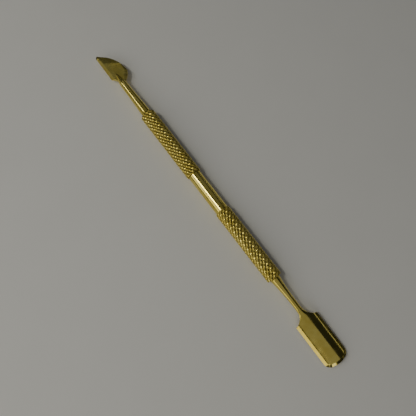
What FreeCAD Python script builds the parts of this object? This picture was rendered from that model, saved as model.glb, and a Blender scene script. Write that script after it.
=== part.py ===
"""Dual-ended cuticle pusher: a curved pusher spoon at one end, a knife-shaped scraper at the other.

Frame: millimetres, +X along the tool towards the pusher, +Z up with the spoon's convex side up.
The origin is on the tool's axis, in the middle of the smooth waist.
"""

import FreeCAD, Part
import math
import os

V = FreeCAD.Vector

# Handle
WAIST_LENGTH = 16.0
WAIST_DIAMETER = 4.6
GRIP_LENGTH = 28.0
GRIP_DIAMETER = 5.5
GRIP_CHAMFER = 0.15
SEAT_DEPTH = 0.1
BORE_DIAMETER = 3.6
SPIGOT_LENGTH = 9.0
SPIGOT_CHAMFER = 0.2
BUSH_LENGTH = 12.0
TANG_DIAMETER = 2.2
TANG_LENGTH = 11.0
ROOT_DIAMETER = 3.4

# Rings of braze: how far each one climbs the shank and spreads on the grip's end
SCRAPER_RING = (0.9, 0.55)
PUSHER_RING = (0.45, 0.35)
RING_HOLLOW = [(0.14, 0.52), (0.50, 0.15)]

# Shanks: (distance from the grip's end, radius), after the straight root under the braze
SCRAPER_SHANK = [(1.2, 1.70), (3.0, 1.67), (6.0, 1.57), (8.5, 1.46), (11.0, 1.39), (15.3, 1.35)]
SCRAPER_NOSE = [(16.8, 1.14), (18.0, 0.85), (19.1, 0.33), (19.5, 0.0)]
PUSHER_SHANK = [(0.8, 1.64), (2.4, 1.46), (5.0, 1.24), (7.5, 1.08), (9.5, 1.02), (11.0, 1.0)]

# Pusher spoon
SPOON_END = 68.65
SPOON_SHOULDER = 52.5
SPOON_HALF_WIDTH = 4.25
SPOON_RADIUS = 6.2
SPOON_THICKNESS = 0.85
SPOON_EDGE_DROP = 1.9
SPOON_PITCH = math.radians(3.2)
SPOON_CREST = 1.0
FLARE_START = 47.0
FLARE_RADIUS = 4.2
NECK_HALF_WIDTH = 1.0
CORNER_RADIUS = 2.1
END_CROWN = 0.25
SIDE_BEVEL_WIDTH = 0.85
SIDE_BEVEL_DROP = 0.64
END_BEVEL_WIDTH = 0.9
END_BEVEL_ANGLE = math.radians(28.0)

# Scraper blade: the plate's levels, its cutting edge at -Y, and its grinds
PLATE_TOP = 0.35
PLATE_BOTTOM = -0.75
EDGE_LAND = 0.22
SCRAPER_TIP = V(-66.75, -1.65, 0)
BLUNT_MIDDLE = V(-66.45, -2.13, 0)
EDGE_START = V(-65.95, -2.42, 0)
HEEL = V(-55.35, -2.54, 0)
HEEL_FILLET = V(-54.2, -1.40, 0)
NECK_FRONT = V(-52.6, -0.85, 0)
NECK_END = -50.2
BACK = [(-65.3, -0.2), (-63.7, 1.40), (-61.4, 2.78), (-58.4, 3.82), (-55.9, 4.24)]
BACK_CORNER = V(-55.25, 4.28, 0)
REAR = [(-54.75, 4.12), (-53.75, 3.45), (-52.85, 2.45), (-51.8, 1.50), (NECK_END, 0.85)]
EDGE_BEVEL_Y = -1.5
RIDGE_LOW = V(-62.4, EDGE_BEVEL_Y, PLATE_TOP)
RIDGE_HIGH = V(-58.75, 3.45, PLATE_TOP)
POINT_THICKNESS = 0.25

GRIP_START = WAIST_LENGTH / 2
GRIP_END = GRIP_START + GRIP_LENGTH
X_AXIS = V(1, 0, 0)
TOP_SAMPLES = 9


def turned(points):
    """A solid turned about the X axis from its (x, radius) outline, given along the axis."""
    outline = Part.makePolygon([V(x, r, 0) for x, r in points] + [V(points[0][0], points[0][1], 0)])
    return Part.Face(outline).revolve(V(0, 0, 0), X_AXIS, 360)


def mirrored_to_scraper_end(shape):
    """The same piece at the other end of the tool."""
    return shape.mirror(V(0, 0, 0), X_AXIS)


def centre_barrel():
    """Smooth waist with a chamfered spigot on each side."""
    waist = WAIST_DIAMETER / 2
    spigot = BORE_DIAMETER / 2
    shoulder = GRIP_START + SEAT_DEPTH
    tip = shoulder + SPIGOT_LENGTH
    half = [
        (shoulder, waist),
        (shoulder, spigot),
        (tip - SPIGOT_CHAMFER, spigot),
        (tip, spigot - SPIGOT_CHAMFER),
        (tip, 0),
    ]
    return turned([(-x, r) for x, r in reversed(half)] + half)


def grip():
    """Sleeve at crest size, with a shallow seat for the waist and chamfered ends."""
    outer = GRIP_DIAMETER / 2
    bore = BORE_DIAMETER / 2
    waist = WAIST_DIAMETER / 2
    return turned([
        (GRIP_START, waist),
        (GRIP_START, outer - GRIP_CHAMFER),
        (GRIP_START + GRIP_CHAMFER, outer),
        (GRIP_END - GRIP_CHAMFER, outer),
        (GRIP_END, outer - GRIP_CHAMFER),
        (GRIP_END, bore),
        (GRIP_START + SEAT_DEPTH, bore),
        (GRIP_START + SEAT_DEPTH, waist),
    ])


def end_bush():
    """Plain bush, flush with the grip's end, that centres a tang."""
    outer = BORE_DIAMETER / 2
    inner = TANG_DIAMETER / 2
    start = GRIP_END - BUSH_LENGTH
    return turned([(start, inner), (start, outer), (GRIP_END, outer), (GRIP_END, inner)])


def braze_ring(climb, spread):
    """Hollow fillet of braze between the shank's root and the grip's end face, in straight runs."""
    root = ROOT_DIAMETER / 2
    runs = [(0.0, 0.0), (0.0, 1.0)] + RING_HOLLOW + [(1.0, 0.0)]
    return turned([(GRIP_END + a * climb, root + b * spread) for a, b in runs])


def shank(profile, climb, tail):
    """Tang, straight root and tapering shank, turned as one; tail closes it on the axis."""
    root = ROOT_DIAMETER / 2
    tang = TANG_DIAMETER / 2
    tang_end = GRIP_END - TANG_LENGTH
    corners = [(tang_end, 0), (tang_end, tang), (GRIP_END, tang), (GRIP_END, root), (GRIP_END + climb, root)]
    corners = [V(x, r, 0) for x, r in corners]
    edges = [Part.makeLine(a, b) for a, b in zip(corners, corners[1:])]
    taper = Part.BSplineCurve()
    taper.interpolate([corners[-1]] + [V(GRIP_END + d, r, 0) for d, r in profile])
    edges.append(taper.toShape())
    ends = [V(GRIP_END + d, r, 0) for d, r in [profile[-1]] + tail]
    edges += [Part.makeLine(a, b) for a, b in zip(ends, ends[1:])]
    edges.append(Part.makeLine(ends[-1], corners[0]))
    return Part.Face(Part.Wire(edges)).revolve(V(0, 0, 0), X_AXIS, 360)


def crest_height(x):
    """Height of the spoon's crest, level with the shank's top at the flare and pitched down after it."""
    return SPOON_CREST - max(0.0, x - FLARE_START) * math.tan(SPOON_PITCH)


def bow(y, half_width, drop):
    """How far an arc through the middle and both edges has fallen at y; a negative drop rises."""
    if abs(drop) < 1e-6:
        return 0.0
    radius = (half_width ** 2 + drop ** 2) / (2 * abs(drop))
    return math.copysign(radius - math.sqrt(max(0.0, radius ** 2 - y ** 2)), drop)


def spline_edge(points):
    curve = Part.BSplineCurve()
    curve.interpolate(points)
    return curve.toShape()


def across(reach):
    """Evenly spaced places from one side to the other."""
    return [reach * (-1 + 2 * i / (TOP_SAMPLES - 1)) for i in range(TOP_SAMPLES)]


def cross_section(x, half_width, top_drop, thickness, bottom_drop, grow=0.0):
    """Closed section of the spoon or its neck: a bowed top, a bowed underside and two short sides.

    grow widens it past half_width on the same arcs, and a negative one also shrinks it all round.
    """
    crest = crest_height(x) + min(grow, 0.0)
    floor = crest_height(x) - thickness - min(grow, 0.0)
    places = across(half_width + grow)
    top = [V(x, y, crest - bow(y, half_width, top_drop)) for y in places]
    under = [V(x, y, floor - bow(y, half_width, bottom_drop)) for y in reversed(places)]
    return Part.Wire([
        spline_edge(top),
        Part.makeLine(top[-1], under[0]),
        spline_edge(under),
        Part.makeLine(under[-1], top[0]),
    ])


def flare_half_width(x):
    """Half the plan width on the concave arc that runs from the neck out to the shoulder corner."""
    rise = SPOON_HALF_WIDTH - NECK_HALF_WIDTH
    run = math.sqrt(2 * FLARE_RADIUS * rise - rise ** 2)
    along = max(0.0, x - (SPOON_SHOULDER - run))
    return NECK_HALF_WIDTH + FLARE_RADIUS - math.sqrt(FLARE_RADIUS ** 2 - along ** 2)


def spoon_top_drop():
    """How much lower the spoon's upper edges are than its crest."""
    return SPOON_RADIUS - math.sqrt(SPOON_RADIUS ** 2 - SPOON_HALF_WIDTH ** 2)


def flare():
    """Neck that turns from the round shank into the spoon's thin arched section."""
    shank_bow = 0.94
    nested = -0.03
    stations = [FLARE_START, 48.3, 49.4, 50.3, 51.1, 51.8, 52.25, SPOON_SHOULDER]
    under_rise = SPOON_EDGE_DROP - SPOON_THICKNESS
    sections = []
    for x in stations:
        share = (x - FLARE_START) / (SPOON_SHOULDER - FLARE_START)
        blend = share ** 1.5
        top_drop = shank_bow + (spoon_top_drop() - shank_bow) * blend
        thickness = 2 * SPOON_CREST + (SPOON_THICKNESS - 2 * SPOON_CREST) * share
        bottom_drop = -shank_bow + (under_rise + shank_bow) * share
        sections.append(cross_section(x, flare_half_width(x), top_drop, thickness, bottom_drop, nested))
    return Part.makeLoft(sections, True, False)


def plan_prism():
    """The spoon's outline seen from above: straight sides, rounded corners, a slightly crowned end."""
    w = SPOON_HALF_WIDTH
    r = CORNER_RADIUS
    side_end = SPOON_END - END_CROWN - r
    corner = math.radians(45)
    mid = V(side_end + r * math.sin(corner), w - r + r * math.cos(corner), 0)
    end = V(SPOON_END - END_CROWN, w - r, 0)
    start = V(SPOON_SHOULDER - 1, w, 0)
    side = V(side_end, w, 0)

    def flip(p):
        return V(p.x, -p.y, 0)

    edges = [
        Part.makeLine(start, side),
        Part.Arc(side, mid, end).toShape(),
        Part.Arc(end, V(SPOON_END, 0, 0), flip(end)).toShape(),
        Part.Arc(flip(end), flip(mid), flip(side)).toShape(),
        Part.makeLine(flip(side), flip(start)),
        Part.makeLine(flip(start), start),
    ]
    prism = Part.Face(Part.Wire(edges)).extrude(V(0, 0, 20))
    prism.translate(V(0, 0, -10))
    return prism


def side_bevel_cutter(side):
    """Removes the ground facet along one long side; side is +1 or -1."""
    w = SPOON_HALF_WIDTH
    inner = w - SIDE_BEVEL_WIDTH
    slope = SIDE_BEVEL_DROP / SIDE_BEVEL_WIDTH
    start = SPOON_SHOULDER - 1
    crest = crest_height(start)
    level = crest - bow(inner, w, spoon_top_drop())
    reach = 1.0
    corners = [
        V(start, side * inner, level),
        V(start, side * (w + reach), level - slope * (SIDE_BEVEL_WIDTH + reach)),
        V(start, side * (w + reach), level + 3),
        V(start, side * inner, level + 3),
    ]
    face = Part.Face(Part.makePolygon(corners + [corners[0]]))
    length = 22.0
    return face.extrude(V(length, 0, -length * math.tan(SPOON_PITCH)))


def above_arc(x, lowered):
    """Closed section of everything above the spoon's top arc, moved down by lowered."""
    reach = SPOON_HALF_WIDTH + 0.5
    crest = crest_height(x) - lowered
    arc = [V(x, y, crest - bow(y, SPOON_HALF_WIDTH, spoon_top_drop())) for y in across(reach)]
    high = 4.0
    right = V(x, reach, high)
    left = V(x, -reach, high)
    return Part.Wire([
        spline_edge(arc),
        Part.makeLine(arc[-1], right),
        Part.makeLine(right, left),
        Part.makeLine(left, arc[0]),
    ])


def end_bevel_cutter():
    """Removes the facet ground across the spoon's working end."""
    ridge = SPOON_END - END_BEVEL_WIDTH
    past = 1.0
    fall = (END_BEVEL_WIDTH + past) * math.tan(END_BEVEL_ANGLE)
    return Part.makeLoft([above_arc(ridge, 0.0), above_arc(SPOON_END + past, fall)], True, True)


def pusher_blade():
    """Forged spoon, flare, shank and tang in one piece."""
    turned_part = shank(PUSHER_SHANK, PUSHER_RING[0], [(PUSHER_SHANK[-1][0], 0.0)])
    under_rise = SPOON_EDGE_DROP - SPOON_THICKNESS
    ends = [
        cross_section(x, SPOON_HALF_WIDTH, spoon_top_drop(), SPOON_THICKNESS, under_rise, 0.5)
        for x in (SPOON_SHOULDER, SPOON_END + 1.0)
    ]
    spoon = Part.makeLoft(ends, True, True).common(plan_prism())
    for side in (1, -1):
        spoon = spoon.cut(side_bevel_cutter(side))
    spoon = spoon.cut(end_bevel_cutter())
    return turned_part.fuse([flare(), spoon]).removeSplitter()


def scraper_outline():
    """Plan of the scraper: straight cutting edge, slanted rounded back, and a necked root."""
    back = [SCRAPER_TIP] + [V(x, y, 0) for x, y in BACK]
    rear = [V(x, y, 0) for x, y in REAR]
    neck = V(NECK_END, NECK_FRONT.y, 0)
    edges = [
        Part.Arc(EDGE_START, BLUNT_MIDDLE, SCRAPER_TIP).toShape(),
        spline_edge(back),
        Part.Arc(back[-1], BACK_CORNER, rear[0]).toShape(),
        spline_edge(rear),
        Part.makeLine(rear[-1], neck),
        Part.makeLine(neck, NECK_FRONT),
        Part.Arc(NECK_FRONT, HEEL_FILLET, HEEL).toShape(),
        Part.makeLine(HEEL, EDGE_START),
    ]
    return Part.Wire(edges)


def front_grind_angle():
    """Slope of the point's grind, so that the point keeps POINT_THICKNESS."""
    along = (RIDGE_HIGH - RIDGE_LOW).normalize()
    reach = (SCRAPER_TIP - RIDGE_LOW).cross(along).z
    return math.atan2(PLATE_TOP - PLATE_BOTTOM - POINT_THICKNESS, abs(reach))


def front_grind_height(x, y):
    """Height of the point's ground face at a place in plan."""
    along = (RIDGE_HIGH - RIDGE_LOW).normalize()
    reach = abs((V(x, y, PLATE_TOP) - RIDGE_LOW).cross(along).z)
    return PLATE_TOP - reach * math.tan(front_grind_angle())


def front_grind_cutter():
    """Wedge above the ground face between the slanted ridge and the point."""
    along = (RIDGE_HIGH - RIDGE_LOW).normalize()
    forward = V(-along.y, along.x, 0)
    reach = 7.0
    drop = reach * math.tan(front_grind_angle())
    start = RIDGE_LOW - along * 5
    corners = [
        start,
        start + forward * reach - V(0, 0, drop),
        start + forward * reach + V(0, 0, 3),
        start + V(0, 0, 3),
    ]
    face = Part.Face(Part.makePolygon(corners + [corners[0]]))
    return face.extrude(along * 16)


def edge_strip_section(x, upper):
    """Section of the metal taken off above the cutting edge's narrow bevel."""
    low = PLATE_BOTTOM + EDGE_LAND
    outside = -4
    above = 3
    places = [(EDGE_BEVEL_Y, upper), (HEEL.y, low), (outside, low), (outside, above), (EDGE_BEVEL_Y, above)]
    corners = [V(x, y, z) for y, z in places]
    return Part.makePolygon(corners + [corners[0]])


def edge_strip_cutters():
    """The narrow bevel along the cutting edge, in one run beside each upper face."""
    past_heel = edge_strip_section(HEEL.x + 1, PLATE_TOP)
    at_ridge = edge_strip_section(RIDGE_LOW.x, PLATE_TOP)
    point_x = SCRAPER_TIP.x - 0.2
    at_point = edge_strip_section(point_x, front_grind_height(point_x, EDGE_BEVEL_Y))
    return [Part.makeLoft(run, True, True) for run in ([past_heel, at_ridge], [at_ridge, at_point])]


def scraper_blade():
    """Forged scraper, shank and tang in one piece."""
    plate = Part.Face(scraper_outline()).extrude(V(0, 0, PLATE_TOP - PLATE_BOTTOM))
    plate.translate(V(0, 0, PLATE_BOTTOM))
    plate = plate.cut(front_grind_cutter())
    for cutter in edge_strip_cutters():
        plate = plate.cut(cutter)
    turned_part = mirrored_to_scraper_end(shank(SCRAPER_SHANK, SCRAPER_RING[0], SCRAPER_NOSE))
    return turned_part.fuse(plate).removeSplitter()


def pieces():
    """Every separate piece of the tool by its name."""
    return {
        "centre_barrel": centre_barrel(),
        "pusher_grip": grip(),
        "scraper_grip": mirrored_to_scraper_end(grip()),
        "pusher_end_bush": end_bush(),
        "scraper_end_bush": mirrored_to_scraper_end(end_bush()),
        "pusher_blade": pusher_blade(),
        "scraper_blade": scraper_blade(),
        "pusher_braze_ring": braze_ring(*PUSHER_RING),
        "scraper_braze_ring": mirrored_to_scraper_end(braze_ring(*SCRAPER_RING)),
    }


os.makedirs("parts", exist_ok=True)
for name, shape in pieces().items():
    shape.exportStep("parts/" + name + ".step")
    print(name, "valid", shape.isValid(), "solids", len(shape.Solids), "mm3", round(shape.Volume, 2))
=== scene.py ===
"""Dual-ended cuticle pusher: the visual model, its materials, the studio and the camera.

Lengths are in millimetres until a mesh is made, which turns them into metres. The frame is the
CAD's: +X along the tool towards the pusher spoon, +Z up, +Y towards the scraper's blunt back.
"""

import math

import bmesh
import bpy
from mathutils import Matrix, Vector
from mathutils.geometry import delaunay_2d_cdt


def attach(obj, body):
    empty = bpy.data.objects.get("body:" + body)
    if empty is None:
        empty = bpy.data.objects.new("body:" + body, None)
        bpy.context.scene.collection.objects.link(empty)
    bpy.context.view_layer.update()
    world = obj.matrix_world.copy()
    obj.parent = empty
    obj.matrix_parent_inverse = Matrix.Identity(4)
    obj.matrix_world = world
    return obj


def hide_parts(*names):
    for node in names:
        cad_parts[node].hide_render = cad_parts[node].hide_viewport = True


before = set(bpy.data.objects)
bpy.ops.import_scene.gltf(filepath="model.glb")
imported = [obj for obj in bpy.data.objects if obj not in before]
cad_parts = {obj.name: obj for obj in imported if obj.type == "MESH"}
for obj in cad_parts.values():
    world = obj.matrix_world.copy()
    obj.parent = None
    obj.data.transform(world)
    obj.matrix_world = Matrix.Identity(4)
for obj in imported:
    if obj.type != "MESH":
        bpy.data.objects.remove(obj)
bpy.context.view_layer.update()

MM = 0.001

# Handle
WAIST_END = 8.0
WAIST_RADIUS = 2.3
GRIP_END = 36.0
GRIP_RADIUS = 2.745
BORE_RADIUS = 1.8
SEAT_DEPTH = 0.1
SPIGOT_LENGTH = 9.0
SPIGOT_CHAMFER = 0.2
WAIST_STATIONS = 24
WAIST_SEGMENTS = 160
TANG_RADIUS = 1.1
TANG_LENGTH = 11.0
TANG_CHAMFER = 0.1
ROOT_RADIUS = 1.7

# Braze rings: how far each climbs along the shank and spreads on the grip, and the seed of its waves
PUSHER_RING = (0.45, 0.35, 0.4)
SCRAPER_RING = (0.9, 0.55, 1.7)
RING_SEGMENTS = 96
RING_ARC_STEPS = 8
RING_OVERLAP = 0.02

# Knurl: two crossing sets of helical grooves, the second one cut deeper than the first
STARTS = 12
LEAD = 21.5
GROOVE_DEPTHS = (0.22, 0.33)
GROOVE_HALF_WIDTH = 0.44
GROOVE_STEPS = (0.0, 0.10, 0.27, 0.44, 0.56, 0.73, 0.90)
KNURL_CHAMFER = 0.22
# Depth below the crest from which the knurl's colour is painted full bright gold; deeper in the grooves it
# is painted dark, as shade.
BRIGHT_ABOVE = 0.12

# Pusher spoon
SPOON_END = 68.65
SHOULDER = 52.5
HALF_WIDTH = 4.25
SPOON_RADIUS = 6.2
THICKNESS = 0.85
EDGE_DROP = 1.9
PITCH = math.radians(3.2)
CREST = 1.0
FLARE_START = 47.0
FLARE_RADIUS = 4.2
FLATTENED_AFTER = 4.9
THINNED_AFTER = 5.6
NECK_HALF_WIDTH = 1.0
CORNER_RADIUS = 2.1
END_CROWN = 0.25
SIDE_BEVEL = (0.85, 0.64)
END_BEVEL = (0.9, 0.48)
BEVEL_RUN_IN = 0.1
PUSHER_SHANK = [(36.45, 1.70), (36.8, 1.64), (38.4, 1.46), (41.0, 1.24), (43.5, 1.08), (45.5, 1.02),
                (47.0, 1.0)]

# Scraper blade
PLATE_TOP = 0.35
PLATE_BOTTOM = -0.75
EDGE_LAND = 0.22
EDGE_BEVEL_Y = -1.5
EDGE_Y = -2.54
RIDGE_LOW = Vector((-62.4, EDGE_BEVEL_Y))
RIDGE_HIGH = Vector((-58.75, 3.45))
RIDGE_ALONG = (RIDGE_HIGH - RIDGE_LOW).normalized()
POINT = Vector((-66.75, -1.65))
POINT_THICKNESS = 0.25
NECK = (-50.2, 0.85)
BACK = [POINT, (-65.3, -0.2), (-63.7, 1.40), (-61.4, 2.78), (-58.4, 3.82), (-55.9, 4.24)]
BACK_CORNER = (-55.25, 4.28)
REAR = [(-54.75, 4.12), (-53.75, 3.45), (-52.85, 2.45), (-51.8, 1.50), NECK]
NECK_FRONT = (-52.6, -NECK[1])
HEEL_FILLET = (-54.2, -1.40)
HEEL = Vector((-55.35, EDGE_Y))
EDGE_START = Vector((-65.95, -2.42))
BLUNT_MIDDLE = (-66.45, -2.13)
STRIP_STATIONS = (-66.62, -65.5, -64.0, -63.2, -62.4, -60.0, -58.0, -56.0)
REAR_BEVEL = (0.12, 1.15)
REAR_BEVEL_SLOPE = 0.42
REAR_BEVEL_FULLNESS = 0.8
REAR_BEVEL_STOP = 4
GRIND_ROWS = 6
GRIND_ROW_REACH = (3, 8)
GRIND_ROUNDING = 0.18
CURVE_STEPS = 8
CORNER_POINTS = 5
FILLET_POINTS = 12
EDGE_POINTS = 20
BLUNT_POINTS = 6
SCRAPER_SHANK = [(-36.9, 1.70), (-37.2, 1.70), (-39.0, 1.67), (-42.0, 1.57), (-44.5, 1.46), (-47.0, 1.39),
                 (-51.3, 1.33), (-52.8, 1.06), (-54.3, 0.76), (-56.0, 0.42)]
SHANK_NOSE = (-56.5, 0.2)
SHANK_SEGMENTS = 96

# Finish: how wide the broken edges are, and the angles in degrees above which an edge counts as one
KNURL_SHARP = 22
SPOON_SHARP = 14
SPOON_EDGE_BREAK = 0.035
SCRAPER_SHARP = 8
SCRAPER_EDGE_BREAK = 0.05
SCRAPER_BREAK_ANGLE = 9


# ---------------------------------------------------------------- meshes

def add_object(name, build):
    """Makes a smooth-shaded object, in metres, from the bmesh that build fills."""
    bm = bmesh.new()
    build(bm)
    bmesh.ops.recalc_face_normals(bm, faces=bm.faces)
    bmesh.ops.scale(bm, vec=(MM, MM, MM), verts=bm.verts)
    for face in bm.faces:
        face.smooth = True
    mesh = bpy.data.meshes.new(name)
    bm.to_mesh(mesh)
    bm.free()
    made = bpy.data.objects.new(name, mesh)
    bpy.context.scene.collection.objects.link(made)
    return made


def add_piece(name, material, nodes, build):
    """Makes one piece and ties it to the frame."""
    piece = add_object(name, build)
    piece.data.materials.append(material)
    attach(piece, "root")
    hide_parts(*nodes)
    return piece


def soften_edges(piece, width, angle):
    """Rounds the ground edges slightly, so that they catch the light."""
    bevel = piece.modifiers.new("edge_break", "BEVEL")
    bevel.width = width * MM
    bevel.segments = 2
    bevel.limit_method = "ANGLE"
    bevel.angle_limit = math.radians(angle)
    bevel.harden_normals = True
    bevel.use_clamp_overlap = True


def ring_of(bm, x, radius, count):
    """Circle of vertices about the X axis."""
    angles = [2 * math.pi * i / count for i in range(count)]
    return [bm.verts.new((x, radius * math.cos(a), radius * math.sin(a))) for a in angles]


def join_rings(bm, first, second):
    count = len(first)
    for i in range(count):
        j = (i + 1) % count
        bm.faces.new((first[i], first[j], second[j], second[i]))


def turn(bm, profile, count, closed=False):
    """Surface turned about the X axis from (x, radius) points; its open ends are capped."""
    rings = [ring_of(bm, x, r, count) for x, r in profile]
    for first, second in zip(rings, rings[1:]):
        join_rings(bm, first, second)
    if closed:
        join_rings(bm, rings[-1], rings[0])
        return
    bm.faces.new(rings[0])
    bm.faces.new(rings[-1])


def smooth_run(points, steps):
    """Catmull-Rom curve through (x, radius) points."""
    run = []
    for i in range(len(points) - 1):
        p0 = Vector(points[max(i - 1, 0)])
        p1 = Vector(points[i])
        p2 = Vector(points[i + 1])
        p3 = Vector(points[min(i + 2, len(points) - 1)])
        for k in range(steps):
            t = k / steps
            run.append(0.5 * (2 * p1 + (p2 - p0) * t + (2 * p0 - 5 * p1 + 4 * p2 - p3) * t * t
                              + (3 * p1 - p0 - 3 * p2 + p3) * t ** 3))
    run.append(Vector(points[-1]))
    return [(p.x, p.y) for p in run]


def smoothstep(t):
    t = min(max(t, 0.0), 1.0)
    return t * t * (3 - 2 * t)


# ---------------------------------------------------------------- handle

def build_barrel(bm):
    """Smooth waist with a chamfered spigot on each side."""
    shoulder = WAIST_END + SEAT_DEPTH
    tip = shoulder + SPIGOT_LENGTH
    waist = [shoulder * k / WAIST_STATIONS for k in range(WAIST_STATIONS + 1)]
    half = [(x, WAIST_RADIUS) for x in waist]
    half += [(shoulder, BORE_RADIUS), (tip - SPIGOT_CHAMFER, BORE_RADIUS)]
    half.append((tip, BORE_RADIUS - SPIGOT_CHAMFER))
    turn(bm, [(-x, r) for x, r in reversed(half[1:])] + half, WAIST_SEGMENTS)


def groove_cut(phase, depth):
    """How deep one set of grooves is at a phase counted in grooves."""
    away = abs(phase - round(phase))
    return depth * max(0.0, 1 - away / GROOVE_HALF_WIDTH)


def knurl_radius(a, b):
    return GRIP_RADIUS - max(groove_cut(a, GROOVE_DEPTHS[0]), groove_cut(b, GROOVE_DEPTHS[1]))


def build_grip(bm, side):
    """Knurled sleeve: a lattice of diamonds that follows both sets of grooves, cut square at its ends."""
    steps = len(GROOVE_STEPS)
    turns = STARTS * steps
    middle = (WAIST_END + GRIP_END) / 2
    half = (GRIP_END - WAIST_END) / 2
    reach = math.ceil(2 * STARTS * (half + 1.0) / LEAD * steps)

    def phase(i):
        return i // steps + GROOVE_STEPS[i % steps]

    verts = {}

    def vert(i, j):
        lap = (i + j) // (2 * turns)
        key = (i - lap * turns, j - lap * turns)
        if key not in verts:
            a, b = phase(key[0]), phase(key[1])
            angle = math.pi * (a + b) / STARTS
            x = LEAD * (a - b) / (2 * STARTS)
            r = knurl_radius(a, b)
            verts[key] = bm.verts.new((x, r * math.cos(angle), r * math.sin(angle)))
        return verts[key]

    for total in range(turns):
        for apart in range(-reach, reach + 1):
            for extra in (0, 1):
                i = total + (apart + extra) // 2 + (apart + extra) % 2
                j = i - apart
                if (i + j) // 2 != total:
                    continue
                corners = [vert(i, j), vert(i + 1, j), vert(i + 1, j + 1), vert(i, j + 1)]
                if not bm.faces.get(corners):
                    bm.faces.new(corners)

    for end in (-1, 1):
        for x, clear in ((half, True), (half - KNURL_CHAMFER, False)):
            bmesh.ops.bisect_plane(
                bm, geom=bm.verts[:] + bm.edges[:] + bm.faces[:], dist=1e-5,
                plane_co=(end * x, 0, 0), plane_no=(end, 0, 0), clear_outer=clear)
    for v in bm.verts:
        limit = GRIP_RADIUS - max(0.0, abs(v.co.x) - half + KNURL_CHAMFER)
        radius = math.hypot(v.co.y, v.co.z)
        if radius > limit:
            v.co.y *= limit / radius
            v.co.z *= limit / radius

    inner_rings = []
    for end, steps_in in ((-1, [(0, WAIST_RADIUS), (SEAT_DEPTH, WAIST_RADIUS), (SEAT_DEPTH, BORE_RADIUS)]),
                          (1, [(0, BORE_RADIUS)])):
        rim = [v for v in bm.verts if v.is_boundary and v.co.x * end > 0]
        rim.sort(key=lambda v: math.atan2(v.co.z, v.co.y))
        last = rim
        for inset, radius in steps_in:
            ring = []
            for v in rim:
                angle = math.atan2(v.co.z, v.co.y)
                x = end * (half - inset)
                ring.append(bm.verts.new((x, radius * math.cos(angle), radius * math.sin(angle))))
            join_rings(bm, last, ring)
            last = ring
        inner_rings.append(last)
    join_rings(bm, inner_rings[0], inner_rings[1])
    for v in bm.verts:
        v.co.x = side * (v.co.x + middle)


def build_braze(bm, side, climb, spread, seed):
    """Slightly uneven hollow fillet of braze around the shank's root."""
    arc = []
    for k in range(RING_ARC_STEPS + 1):
        t = math.pi / 2 * k / RING_ARC_STEPS
        arc.append((GRIP_END + climb * (1 - math.cos(t)), ROOT_RADIUS + spread * (1 - math.sin(t))))
    inner = ROOT_RADIUS - RING_OVERLAP
    profile = [(GRIP_END, inner)] + arc + [(GRIP_END + climb, inner)]
    turn(bm, profile, RING_SEGMENTS, closed=True)
    for v in bm.verts:
        lift = v.co.x - GRIP_END
        angle = math.atan2(v.co.z, v.co.y)
        wave = math.sin(2 * angle + seed) + 0.6 * math.sin(5 * angle + 2.1 * seed)
        v.co.x = side * (GRIP_END + lift * (0.92 + 0.05 * wave))


# ---------------------------------------------------------------- pusher

INNER = 14
BAND = 3
OUTER = INNER + BAND
SHANK_STEPS = 5
NECK_STATIONS = 6
FLARE_STATIONS = 26
SIDE_STATIONS = 24
CORNER_STEPS = 14
RIDGE_SHARE = 1 - SIDE_BEVEL[0] / HALF_WIDTH
RIDGE_TILT = math.radians(53)
SIDE_TILT = math.radians(85)


def crest_height(x):
    return CREST - max(0.0, x - FLARE_START) * math.tan(PITCH)


def arc_drop(y):
    return SPOON_RADIUS - math.sqrt(SPOON_RADIUS ** 2 - y * y)


def under_drop(y):
    rise = EDGE_DROP - THICKNESS
    radius = (HALF_WIDTH ** 2 + rise ** 2) / (2 * rise)
    return THICKNESS + radius - math.sqrt(radius ** 2 - y * y)


def row_tilt(j):
    """Angle of a row round the round shank, from straight up."""
    k = abs(j)
    if k <= INNER:
        tilt = RIDGE_TILT * k / INNER
    else:
        tilt = RIDGE_TILT + (SIDE_TILT - RIDGE_TILT) * (k - INNER) / BAND
    return math.copysign(tilt, j)


def row_share(j):
    """A row's place across the spoon, from -1 to 1."""
    k = abs(j)
    if k <= INNER:
        share = RIDGE_SHARE * k / INNER
    else:
        share = RIDGE_SHARE + (1 - RIDGE_SHARE) * (k - INNER) / BAND
    return math.copysign(share, j)


def round_station(x, radius):
    """Points of one round section, top and underside."""
    top, under = {}, {}
    for j in range(-OUTER, OUTER + 1):
        tilt = row_tilt(j)
        y = radius * math.sin(tilt)
        top[j] = (x, y, radius * math.cos(tilt))
        under[j] = (x, y, -radius * math.cos(tilt))
    return top, under


def flare_station(x, width):
    """Section between the round shank and the thin arched spoon."""
    top, under = {}, {}
    crest = crest_height(x)
    blend = smoothstep((x - FLARE_START) / FLATTENED_AFTER)
    thin = smoothstep((x - FLARE_START) / THINNED_AFTER)
    for j in range(-OUTER, OUTER + 1):
        tilt = row_tilt(j)
        y = width * ((1 - blend) * math.sin(tilt) + blend * row_share(j))
        round_drop = 1 - math.cos(tilt)
        top[j] = (x, y, crest - (1 - blend) * round_drop - blend * arc_drop(y))
        under[j] = (x, y, crest - (1 - thin) * (2 - round_drop) - thin * under_drop(y))
    return top, under


def band_points(ridge, rim, drop):
    """Points down the ground bevel from its ridge to the rim, top and underside."""
    top, under = [], []
    ridge_z = crest_height(ridge[0]) - arc_drop(ridge[1])
    rim_z = ridge_z - drop - (rim[0] - ridge[0]) * math.tan(PITCH)
    for k in range(1, BAND + 1):
        t = k / BAND
        x = ridge[0] + (rim[0] - ridge[0]) * t
        y = ridge[1] + (rim[1] - ridge[1]) * t
        top.append((x, y, ridge_z + (rim_z - ridge_z) * t))
        under.append((x, y, crest_height(x) - under_drop(y)))
    return top, under


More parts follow.
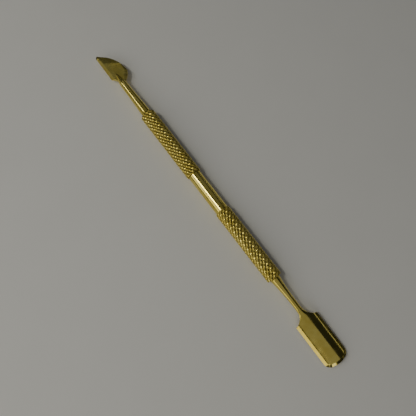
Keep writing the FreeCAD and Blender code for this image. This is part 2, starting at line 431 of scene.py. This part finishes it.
def spoon_station(angle, x=None):
    """Row of points across the spoon; past its straight sides it bows out to follow the corners."""
    side_end = SPOON_END - END_CROWN - CORNER_RADIUS
    turned_in = math.sin(angle)
    ridge_y = HALF_WIDTH - CORNER_RADIUS + (CORNER_RADIUS - SIDE_BEVEL[0]) * math.cos(angle)
    rim_y = HALF_WIDTH - CORNER_RADIUS + CORNER_RADIUS * math.cos(angle)
    if x is None:
        ridge_x = side_end + (CORNER_RADIUS - END_BEVEL[0]) * turned_in
        rim_x = side_end + CORNER_RADIUS * turned_in
        middle_x = ridge_x + END_CROWN * turned_in
    else:
        ridge_x = rim_x = middle_x = x
    top, under = {}, {}
    for j in range(-INNER, INNER + 1):
        share = j / INNER
        px = middle_x + (ridge_x - middle_x) * share ** 2
        py = ridge_y * share
        top[j] = (px, py, crest_height(px) - arc_drop(py))
        under[j] = (px, py, crest_height(px) - under_drop(py))
    drop = SIDE_BEVEL[1] + (END_BEVEL[1] - SIDE_BEVEL[1]) * turned_in ** 2
    if x is not None:
        bevel_share = min(1.0, (x - SHOULDER) / BEVEL_RUN_IN)
        plain = arc_drop(rim_y) - arc_drop(ridge_y)
        drop = plain + (SIDE_BEVEL[1] - plain) * bevel_share
    for side in (-1, 1):
        tops, unders = band_points((ridge_x, side * ridge_y), (rim_x, side * rim_y), drop)
        for k in range(BAND):
            top[side * (INNER + k + 1)] = tops[k]
            under[side * (INNER + k + 1)] = unders[k]
    return top, under


def build_pusher(bm):
    """Tang, tapered shank, flare and spoon in one skin of quads."""
    start = GRIP_END - TANG_LENGTH
    stations = [round_station(start, TANG_RADIUS - TANG_CHAMFER),
                round_station(start + TANG_CHAMFER, TANG_RADIUS),
                round_station(GRIP_END, TANG_RADIUS),
                round_station(GRIP_END, ROOT_RADIUS)]
    stations += [round_station(x, r) for x, r in smooth_run(PUSHER_SHANK, SHANK_STEPS)[:-1]]
    rise = HALF_WIDTH - NECK_HALF_WIDTH
    last_angle = math.acos(1 - rise / FLARE_RADIUS)
    flare_x = SHOULDER - FLARE_RADIUS * math.sin(last_angle)
    for k in range(NECK_STATIONS):
        x = FLARE_START + (flare_x - FLARE_START) * k / NECK_STATIONS
        stations.append(flare_station(x, NECK_HALF_WIDTH))
    for k in range(FLARE_STATIONS):
        angle = last_angle * k / FLARE_STATIONS
        width = NECK_HALF_WIDTH + FLARE_RADIUS * (1 - math.cos(angle))
        stations.append(flare_station(flare_x + FLARE_RADIUS * math.sin(angle), width))
    side_end = SPOON_END - END_CROWN - CORNER_RADIUS
    straight = [SHOULDER, SHOULDER + BEVEL_RUN_IN]
    straight += [SHOULDER + (side_end - SHOULDER) * k / SIDE_STATIONS for k in range(1, SIDE_STATIONS)]
    stations += [spoon_station(0.0, x) for x in straight]
    stations += [spoon_station(math.pi / 2 * k / CORNER_STEPS) for k in range(CORNER_STEPS + 1)]

    skins = []
    for which in (0, 1):
        skin = []
        for station in stations:
            skin.append({j: bm.verts.new(p) for j, p in station[which].items()})
        skins.append(skin)
    fronts = []
    for which in (0, 1):
        rows = []
        last = skins[which][-1]
        for k in range(1, BAND + 1):
            rows.append({j: last[int(math.copysign(INNER + k, j))] for j in (-INNER, INNER)})
        for j in range(-INNER + 1, INNER):
            ridge = stations[-1][0][j]
            points = band_points(ridge[:2], (ridge[0] + END_BEVEL[0], ridge[1]), END_BEVEL[1])[which]
            for k in range(BAND):
                rows[k][j] = bm.verts.new(points[k])
        fronts.append(rows)

    def quad(*corners):
        if len(set(corners)) == 4:
            bm.faces.new(corners)

    for which in (0, 1):
        for first, second in zip(skins[which], skins[which][1:]):
            for j in range(-OUTER, OUTER):
                quad(first[j], second[j], second[j + 1], first[j + 1])
        rows = [skins[which][-1]] + fronts[which]
        for first, second in zip(rows, rows[1:]):
            for j in range(-INNER, INNER):
                quad(first[j], second[j], second[j + 1], first[j + 1])
    top, under = skins
    for i in range(len(stations) - 1):
        for j in (-OUTER, OUTER):
            quad(top[i][j], top[i + 1][j], under[i + 1][j], under[i][j])
    for j in range(-INNER, INNER):
        quad(fronts[0][-1][j], fronts[0][-1][j + 1], fronts[1][-1][j + 1], fronts[1][-1][j])
    for j in range(-OUTER, OUTER):
        quad(top[0][j], top[0][j + 1], under[0][j + 1], under[0][j])


# ---------------------------------------------------------------- scraper

def spline(points, steps):
    return [Vector(p) for p in smooth_run(points, steps)]


def arc_through(a, b, c, steps):
    """Points on the arc from a through b to c, without the last one."""
    a, b, c = Vector(a), Vector(b), Vector(c)
    d = 2 * (a.x * (b.y - c.y) + b.x * (c.y - a.y) + c.x * (a.y - b.y))
    a2, b2, c2 = a.length_squared, b.length_squared, c.length_squared
    ux = (a2 * (b.y - c.y) + b2 * (c.y - a.y) + c2 * (a.y - b.y)) / d
    uy = (a2 * (c.x - b.x) + b2 * (a.x - c.x) + c2 * (b.x - a.x)) / d
    centre = Vector((ux, uy))
    start = math.atan2(a.y - uy, a.x - ux)
    through = math.atan2(b.y - uy, b.x - ux)
    end = math.atan2(c.y - uy, c.x - ux)
    way = 1 if (through - start) % (2 * math.pi) < (end - start) % (2 * math.pi) else -1
    sweep = (way * (end - start)) % (2 * math.pi) * way
    radius = (a - centre).length
    angles = [start + sweep * k / steps for k in range(steps)]
    return [centre + radius * Vector((math.cos(t), math.sin(t))) for t in angles]


def scraper_back():
    """The blunt back, from the point round to the neck."""
    corner = arc_through(BACK[-1], BACK_CORNER, REAR[0], CORNER_POINTS)
    return spline(BACK, CURVE_STEPS)[:-1] + corner + spline(REAR, CURVE_STEPS)


def scraper_front():
    """The neck, the heel's fillet, the cutting edge and the blunt point."""
    fillet = arc_through(NECK_FRONT, HEEL_FILLET, HEEL, FILLET_POINTS)
    edge = [HEEL.lerp(EDGE_START, k / EDGE_POINTS) for k in range(EDGE_POINTS)]
    blunt = arc_through(EDGE_START, BLUNT_MIDDLE, POINT, BLUNT_POINTS)
    return [Vector((NECK[0], -NECK[1]))] + fillet + edge + blunt


def across_ridge(p):
    """Distance from the slanted ridge, towards the point."""
    offset = p - RIDGE_LOW
    return offset.y * RIDGE_ALONG.x - offset.x * RIDGE_ALONG.y


def grind_height(p):
    """Height of the point's ground face, which rounds over slightly towards the point."""
    share = max(0.0, across_ridge(p) / across_ridge(POINT))
    fall = PLATE_TOP - PLATE_BOTTOM - POINT_THICKNESS
    return PLATE_TOP - fall * ((1 - GRIND_ROUNDING) * share + GRIND_ROUNDING * share ** 2)


def strip_height(p):
    """Height of the narrow bevel beside the cutting edge."""
    low = PLATE_BOTTOM + EDGE_LAND
    upper = grind_height(Vector((p.x, EDGE_BEVEL_Y)))
    return low + (upper - low) * max(0.0, (p.y - EDGE_Y) / (EDGE_BEVEL_Y - EDGE_Y))


def rear_bevel(back):
    """How wide the bevel is at each point of the back: nothing at both ends, widest round the corner."""
    first = min(range(len(back)), key=lambda i: (back[i] - RIDGE_HIGH).length)
    last = len(back) - REAR_BEVEL_STOP
    thin, wide = REAR_BEVEL
    widths = {}
    for i in range(first + 1, last):
        share = math.sin(math.pi * (i - first) / (last - first)) ** REAR_BEVEL_FULLNESS
        widths[i] = thin + (wide - thin) * share
    return first, last, widths


def build_scraper_plate(bm):
    """Ground plate: its upper faces meet on straight ridges, and a bevel falls away round its rear."""
    back = scraper_back()
    front = scraper_front()
    outline = back + front
    first, last, widths = rear_bevel(back)
    inset = []
    for i, width in widths.items():
        tangent = (back[i + 1] - back[i - 1]).normalized()
        inset.append(back[i] + width * Vector((tangent.y, -tangent.x)))
    strip = [Vector((x, EDGE_BEVEL_Y)) for x in STRIP_STATIONS]
    on_fillet = [p for p in front if p.x > HEEL.x + 0.05]
    strip_end = min(on_fillet, key=lambda p: abs(p.y - EDGE_BEVEL_Y))

    points = list(outline)
    count = len(outline)
    edges = [(i, (i + 1) % count) for i in range(count)]

    def chain(line):
        start = len(points)
        points.extend(line)
        edges.extend((start + i, start + i + 1) for i in range(len(line) - 1))

    chain([back[first]] + inset + [back[last]])
    chain([back[first], RIDGE_LOW])
    forward = Vector((-RIDGE_ALONG.y, RIDGE_ALONG.x))
    for k in range(1, GRIND_ROWS):
        start = RIDGE_LOW + forward * across_ridge(POINT) * k / GRIND_ROWS
        chain([start - RIDGE_ALONG * GRIND_ROW_REACH[0], start + RIDGE_ALONG * GRIND_ROW_REACH[1]])
    chain(strip + [strip_end])
    result = delaunay_2d_cdt(points, edges, [list(range(count))], 1, 1e-4)
    flat, faces = result[0], result[2]
    lowered = {tuple(round(c, 4) for c in back[i]): width * REAR_BEVEL_SLOPE for i, width in widths.items()}

    def top_height(p):
        height = min(PLATE_TOP, grind_height(p))
        if p.y < EDGE_BEVEL_Y + 1e-6:
            height = min(height, strip_height(p))
        return height - lowered.get(tuple(round(c, 4) for c in p), 0.0)

    tops = [bm.verts.new((p.x, p.y, top_height(p))) for p in flat]
    bottoms = [bm.verts.new((p.x, p.y, PLATE_BOTTOM)) for p in flat]
    rim = set()
    for face in faces:
        bm.faces.new([tops[i] for i in face])
        bm.faces.new([bottoms[i] for i in reversed(face)])
        rim.update(zip(face, face[1:] + face[:1]))
    for a, b in rim:
        if (b, a) not in rim:
            bm.faces.new((tops[a], bottoms[a], bottoms[b], tops[b]))
    bmesh.ops.dissolve_limit(
        bm, angle_limit=math.radians(0.4), verts=bm.verts[:], edges=bm.edges[:], delimit={"NORMAL"})


def build_scraper_shank(bm):
    """Tang, root and tapered shank, ending in a nose that sinks into the blade."""
    start = -(GRIP_END - TANG_LENGTH)
    profile = [(start, TANG_RADIUS - TANG_CHAMFER), (start - TANG_CHAMFER, TANG_RADIUS),
               (-GRIP_END, TANG_RADIUS), (-GRIP_END, ROOT_RADIUS)]
    profile += smooth_run(SCRAPER_SHANK, 6)
    turn(bm, profile + [SHANK_NOSE], SHANK_SEGMENTS)


def join_shank(scraper):
    """Makes one skin of the plate and its shank."""
    shank = add_object("shank_source", build_scraper_shank)
    union = scraper.modifiers.new("join_shank", "BOOLEAN")
    union.operation = "UNION"
    union.solver = "EXACT"
    union.object = shank
    joined = bpy.data.meshes.new_from_object(scraper.evaluated_get(bpy.context.evaluated_depsgraph_get()))
    scraper.modifiers.clear()
    scraper.data = joined
    bpy.data.objects.remove(shank)


# ---------------------------------------------------------------- materials

class Nodes:
    """Short way to write a material's nodes."""

    def __init__(self, name):
        self.material = bpy.data.materials.new(name)
        self.material.use_nodes = True
        self.tree = self.material.node_tree
        self.tree.nodes.clear()
        self.output = self.add("ShaderNodeOutputMaterial")
        coords = self.add("ShaderNodeTexCoord")
        self.place = coords.outputs["Object"]

    def add(self, kind, **settings):
        node = self.tree.nodes.new(kind)
        for key, value in settings.items():
            setattr(node, key, value)
        return node

    def link(self, source, target):
        self.tree.links.new(source, target)

    def set(self, node, **values):
        for key, value in values.items():
            socket = node.inputs[key.replace("_", " ")]
            if isinstance(value, bpy.types.NodeSocket):
                self.link(value, socket)
            else:
                socket.default_value = value
        return node

    def math(self, operation, *values):
        node = self.add("ShaderNodeMath", operation=operation)
        for socket, value in zip(node.inputs, values):
            if isinstance(value, bpy.types.NodeSocket):
                self.link(value, socket)
            else:
                socket.default_value = value
        return node.outputs[0]

    def stretched(self, scale, turn=(0, 0, 0)):
        """The object's coordinates in millimetres, turned and then stretched by scale."""
        first = self.add("ShaderNodeMapping", vector_type="POINT")
        self.set(first, Vector=self.place, Rotation=turn)
        second = self.add("ShaderNodeMapping", vector_type="POINT")
        self.set(second, Vector=first.outputs[0], Scale=[s * 1000 for s in scale])
        return second.outputs[0]

    def noise(self, vector, detail=3.0):
        node = self.add("ShaderNodeTexNoise")
        self.set(node, Vector=vector, Scale=1.0, Detail=detail, Roughness=0.55)
        return node.outputs["Fac"]

    def spread(self, value, low, high, out_low, out_high):
        """Smooth step from out_low to out_high as the value goes from low to high."""
        node = self.add("ShaderNodeMapRange", interpolation_type="SMOOTHSTEP")
        for socket, number in zip(list(node.inputs)[1:5], (low, high, out_low, out_high)):
            socket.default_value = number
        self.link(value, node.inputs[0])
        return node.outputs[0]

    def blend(self, factor, first, second):
        node = self.add("ShaderNodeMix", data_type="RGBA")
        sockets = {s.identifier: s for s in node.inputs}
        self.link(factor, sockets["Factor_Float"])
        for name, value in (("A_Color", first), ("B_Color", second)):
            if isinstance(value, bpy.types.NodeSocket):
                self.link(value, sockets[name])
            else:
                sockets[name].default_value = (*value, 1)
        return next(s for s in node.outputs if s.identifier == "Result_Color")

    def bump(self, height, distance, normal=None):
        node = self.add("ShaderNodeBump")
        self.set(node, Height=height, Strength=1.0, Distance=distance * MM)
        if normal is not None:
            self.link(normal, node.inputs["Normal"])
        return node.outputs[0]

    def metal(self, colour, roughness, normal):
        shader = self.add("ShaderNodeBsdfPrincipled")
        shader.inputs["Metallic"].default_value = 1.0
        self.set(shader, Base_Color=colour, Roughness=roughness)
        self.link(normal, shader.inputs["Normal"])
        self.link(shader.outputs[0], self.output.inputs["Surface"])
        return self.material

    def radius(self):
        """Distance from the tool's axis, in millimetres."""
        split = self.add("ShaderNodeSeparateXYZ")
        self.link(self.place, split.inputs[0])
        y2 = self.math("MULTIPLY", split.outputs[1], split.outputs[1])
        z2 = self.math("MULTIPLY", split.outputs[2], split.outputs[2])
        return self.math("MULTIPLY", self.math("SQRT", self.math("ADD", y2, z2)), 1000.0)


GOLD_LIGHT = (0.92, 0.77, 0.20)
GOLD_DEEP = (0.83, 0.66, 0.13)
# Dark colour: real tarnish in the braze's random patches, and painted shade in the knurl's grooves.
GOLD_TARNISH_AND_SHADE = (0.22, 0.16, 0.03)


def plating(n):
    """Gold whose tint drifts slightly from place to place."""
    drift = n.noise(n.stretched((0.25, 0.25, 0.25)), 4.0)
    return n.blend(n.spread(drift, 0.35, 0.7, 0.0, 1.0), GOLD_LIGHT, GOLD_DEEP)


def scratches(n, turn, amount):
    """Sparse hairline marks along one direction."""
    lines = n.noise(n.stretched((0.25, 14.0, 14.0), turn), 2.0)
    return n.spread(lines, 0.64, 0.72, 0.0, amount)


def polished_gold():
    n = Nodes("polished_gold_plate")
    turned_lines = n.noise(n.stretched((30.0, 0.4, 0.4)))
    marks = n.math("ADD", scratches(n, (0, 0, 0.4), 0.5), scratches(n, (0, 0, -0.7), 0.4))
    cloud = n.noise(n.stretched((0.6, 0.6, 0.6)))
    roughness = n.math("ADD", n.spread(cloud, 0.3, 0.7, 0.13, 0.22), n.math("MULTIPLY", marks, 0.12))
    height = n.math("ADD", n.math("MULTIPLY", turned_lines, 0.35), n.math("MULTIPLY", marks, -0.3))
    return n.metal(plating(n), roughness, n.bump(height, 0.0015))


def knurled_gold():
    n = Nodes("knurled_gold_plate")
    radius = n.radius()
    height = n.spread(radius, GRIP_RADIUS - GROOVE_DEPTHS[1], GRIP_RADIUS - BRIGHT_ABOVE, 0.0, 1.0)
    dirt = n.noise(n.stretched((0.8, 0.8, 0.8)), 4.0)
    # Painted shade: the knurl's grooves are coloured dark tarnish, darker the deeper they go, while the
    # crests keep bright gold; random dirt patches dim the crests a little.
    lit_crest_mask = n.math("MULTIPLY", height, n.spread(dirt, 0.25, 0.6, 0.75, 1.0))
    colour = n.blend(lit_crest_mask, GOLD_TARNISH_AND_SHADE, plating(n))
    cut_marks = n.noise(n.stretched((6.0, 6.0, 6.0)))
    roughness = n.spread(lit_crest_mask, 0.0, 1.0, 0.48, 0.30)
    return n.metal(colour, roughness, n.bump(cut_marks, 0.006))


def ground_gold(name, turn, dull, line_depth):
    """Gold over a ground face, with fine grinding lines along one direction."""
    n = Nodes(name)
    lines = n.noise(n.stretched((0.5, 18.0, 18.0), turn))
    cloud = n.noise(n.stretched((0.35, 0.35, 0.35)), 4.0)
    marks = scratches(n, (0, 0, turn[2] + 0.9), 0.5)
    roughness = n.math("ADD", n.spread(cloud, 0.3, 0.7, dull, dull + 0.09), n.math("MULTIPLY", marks, 0.12))
    waves = n.noise(n.stretched((0.3, 0.5, 0.5)), 1.0)
    fine = n.bump(n.math("SUBTRACT", lines, n.math("MULTIPLY", marks, 0.4)), line_depth)
    return n.metal(plating(n), roughness, n.bump(waves, 0.008, fine))


def braze_gold():
    n = Nodes("braze_gold_plate")
    lumps = n.noise(n.stretched((2.5, 2.5, 2.5)))
    colour = n.blend(n.spread(lumps, 0.35, 0.65, 0.0, 0.7), GOLD_DEEP, GOLD_TARNISH_AND_SHADE)
    return n.metal(colour, n.spread(lumps, 0.3, 0.7, 0.28, 0.42), n.bump(lumps, 0.05))


def bush_steel():
    n = Nodes("turned_steel")
    lines = n.noise(n.stretched((20.0, 0.5, 0.5)))
    colour = n.blend(lines, (0.62, 0.61, 0.58), (0.48, 0.47, 0.45))
    return n.metal(colour, n.spread(lines, 0.3, 0.7, 0.3, 0.45), n.bump(lines, 0.004))


def pale_floor():
    n = Nodes("pale_floor")
    grain = n.noise(n.stretched((0.05, 0.05, 0.05)), 5.0)
    shader = n.add("ShaderNodeBsdfPrincipled")
    n.set(shader, Base_Color=n.blend(grain, (0.84, 0.84, 0.83), (0.80, 0.80, 0.79)), Roughness=0.8)
    n.link(shader.outputs[0], n.output.inputs["Surface"])
    return n.material


# ---------------------------------------------------------------- the tool

knurl = knurled_gold()
braze = braze_gold()
add_piece("waist", polished_gold(), ["centre_barrel"], build_barrel)
for end_name, side in (("pusher", 1), ("scraper", -1)):
    grip = add_piece(end_name + "_knurl", knurl, [end_name + "_grip"],
                     lambda bm, side=side: build_grip(bm, side))
    grip.data.set_sharp_from_angle(angle=math.radians(KNURL_SHARP))
add_piece("pusher_braze", braze, ["pusher_braze_ring"],
          lambda bm: build_braze(bm, 1, *PUSHER_RING))
add_piece("scraper_braze", braze, ["scraper_braze_ring"],
          lambda bm: build_braze(bm, -1, *SCRAPER_RING))

spoon_gold = ground_gold("spoon_gold_plate", (0, 0, math.pi / 2), 0.10, 0.002)
pusher = add_piece("pusher_spoon", spoon_gold, ["pusher_blade"], build_pusher)
pusher.data.set_sharp_from_angle(angle=math.radians(SPOON_SHARP))
soften_edges(pusher, SPOON_EDGE_BREAK, SPOON_SHARP)

scraper_gold = ground_gold("scraper_gold_plate", (0, 0, 0.9), 0.15, 0.0025)
scraper = add_piece("scraper_knife", scraper_gold, ["scraper_blade"], build_scraper_plate)
join_shank(scraper)
scraper.data.set_sharp_from_angle(angle=math.radians(SCRAPER_SHARP))
soften_edges(scraper, SCRAPER_EDGE_BREAK, SCRAPER_BREAK_ANGLE)

steel = bush_steel()
for node in ("pusher_end_bush", "scraper_end_bush"):
    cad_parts[node].data.materials.clear()
    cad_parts[node].data.materials.append(steel)

# ---------------------------------------------------------------- studio

FLOOR_REACH = 1.5
FLOOR_LEVEL = -2.77 * MM

floor_mesh = bpy.data.meshes.new("floor")
corners = [(FLOOR_REACH * x, FLOOR_REACH * y, FLOOR_LEVEL) for x, y in ((-1, -1), (1, -1), (1, 1), (-1, 1))]
floor_mesh.from_pydata(corners, [], [(0, 1, 2, 3)])
floor = bpy.data.objects.new("floor", floor_mesh)
floor_mesh.materials.append(pale_floor())
bpy.context.scene.collection.objects.link(floor)

world = bpy.data.worlds.new("studio")
bpy.context.scene.world = world
world.use_nodes = True
world.node_tree.nodes["Background"].inputs["Color"].default_value = (0.80, 0.88, 1.0, 1)
world.node_tree.nodes["Background"].inputs["Strength"].default_value = 0.02


def softbox(name, direction, distance, size, radiance, colour):
    """Rectangular soft light facing the tool; its width runs along the tool."""
    lamp = bpy.data.lights.new(name, "AREA")
    lamp.shape = "RECTANGLE"
    lamp.size, lamp.size_y = size
    lamp.energy = radiance * math.pi * size[0] * size[1]
    lamp.color = colour
    box = bpy.data.objects.new(name, lamp)
    bpy.context.scene.collection.objects.link(box)
    back = Vector(direction).normalized()
    across = Vector((1, 0, 0))
    up = back.cross(across).normalized()
    across = up.cross(back).normalized()
    box.matrix_world = Matrix.Translation(back * distance) @ Matrix((across, up, back)).transposed().to_4x4()


def toward(zenith_angle, x_share):
    """Direction at an angle from straight up, positive towards +Y, leaning along the tool by x_share."""
    tilt = math.radians(zenith_angle)
    return (x_share, math.sin(tilt), math.cos(tilt))


# Each panel is where one of the tool's reflections comes from in the main view
softbox("window", toward(-26, -0.22), 0.50, (0.12, 0.08), 13.0, (1.0, 0.98, 0.84))
softbox("flank", toward(-59, -0.22), 0.50, (0.18, 0.26), 1.00, (1.0, 0.98, 0.94))
softbox("side", toward(-73, 0.2), 0.50, (0.36, 0.23), 0.95, (1.0, 0.93, 0.70))
softbox("spoon_fill", toward(-14, 0.27), 0.60, (0.50, 0.85), 0.20, (1.0, 0.97, 0.92))
softbox("scraper_fill", toward(26, -0.5), 0.60, (0.40, 0.55), 0.10, (0.97, 0.98, 1.0))
softbox("knurl_fill", toward(-47, 0.82), 0.50, (0.16, 0.20), 1.6, (1.0, 0.98, 0.94))
softbox("edge_fill", (-0.75, -0.62, 0.30), 0.50, (0.40, 0.30), 0.17, (1.0, 0.98, 0.95))
softbox("far_fill", (-0.85, 0.20, 0.45), 0.60, (0.40, 0.40), 0.035, (0.95, 0.97, 1.0))
softbox("ridge_line", (-0.70, 0.27, 0.66), 0.60, (0.07, 0.07), 0.9, (1.0, 0.98, 0.95))
softbox("back_line", toward(73, 0.18), 0.50, (0.50, 0.05), 0.40, (1.0, 0.98, 0.95))
softbox("tip", (0.95, -0.25, 0.19), 0.50, (0.12, 0.10), 1.2, (1.0, 0.97, 0.92))
softbox("shank", toward(-36, -0.62), 0.50, (0.14, 0.06), 5.0, (1.0, 0.98, 0.93))

# ---------------------------------------------------------------- camera

CAMERA_AT = Vector((33.2, -24.9, 144.0)) * MM
HEADING = math.radians(53.2)
TILT = math.radians(14.06)
FOCAL_PIXELS = 440.0
FRAME_PIXELS = 416.0

camera_data = bpy.data.cameras.new("camera")
camera_data.sensor_width = 36.0
camera_data.lens = 36.0 * FOCAL_PIXELS / FRAME_PIXELS
camera_data.clip_start = 0.005
camera = bpy.data.objects.new("camera", camera_data)
right = Vector((math.cos(HEADING), math.sin(HEADING), 0))
ahead = Vector((-math.sin(HEADING), math.cos(HEADING), 0))
forward = ahead * math.sin(TILT) - Vector((0, 0, math.cos(TILT)))
up = ahead * math.cos(TILT) + Vector((0, 0, math.sin(TILT)))
camera.matrix_world = Matrix.Translation(CAMERA_AT) @ Matrix((right, up, -forward)).transposed().to_4x4()
bpy.context.scene.collection.objects.link(camera)
bpy.context.scene.camera = camera
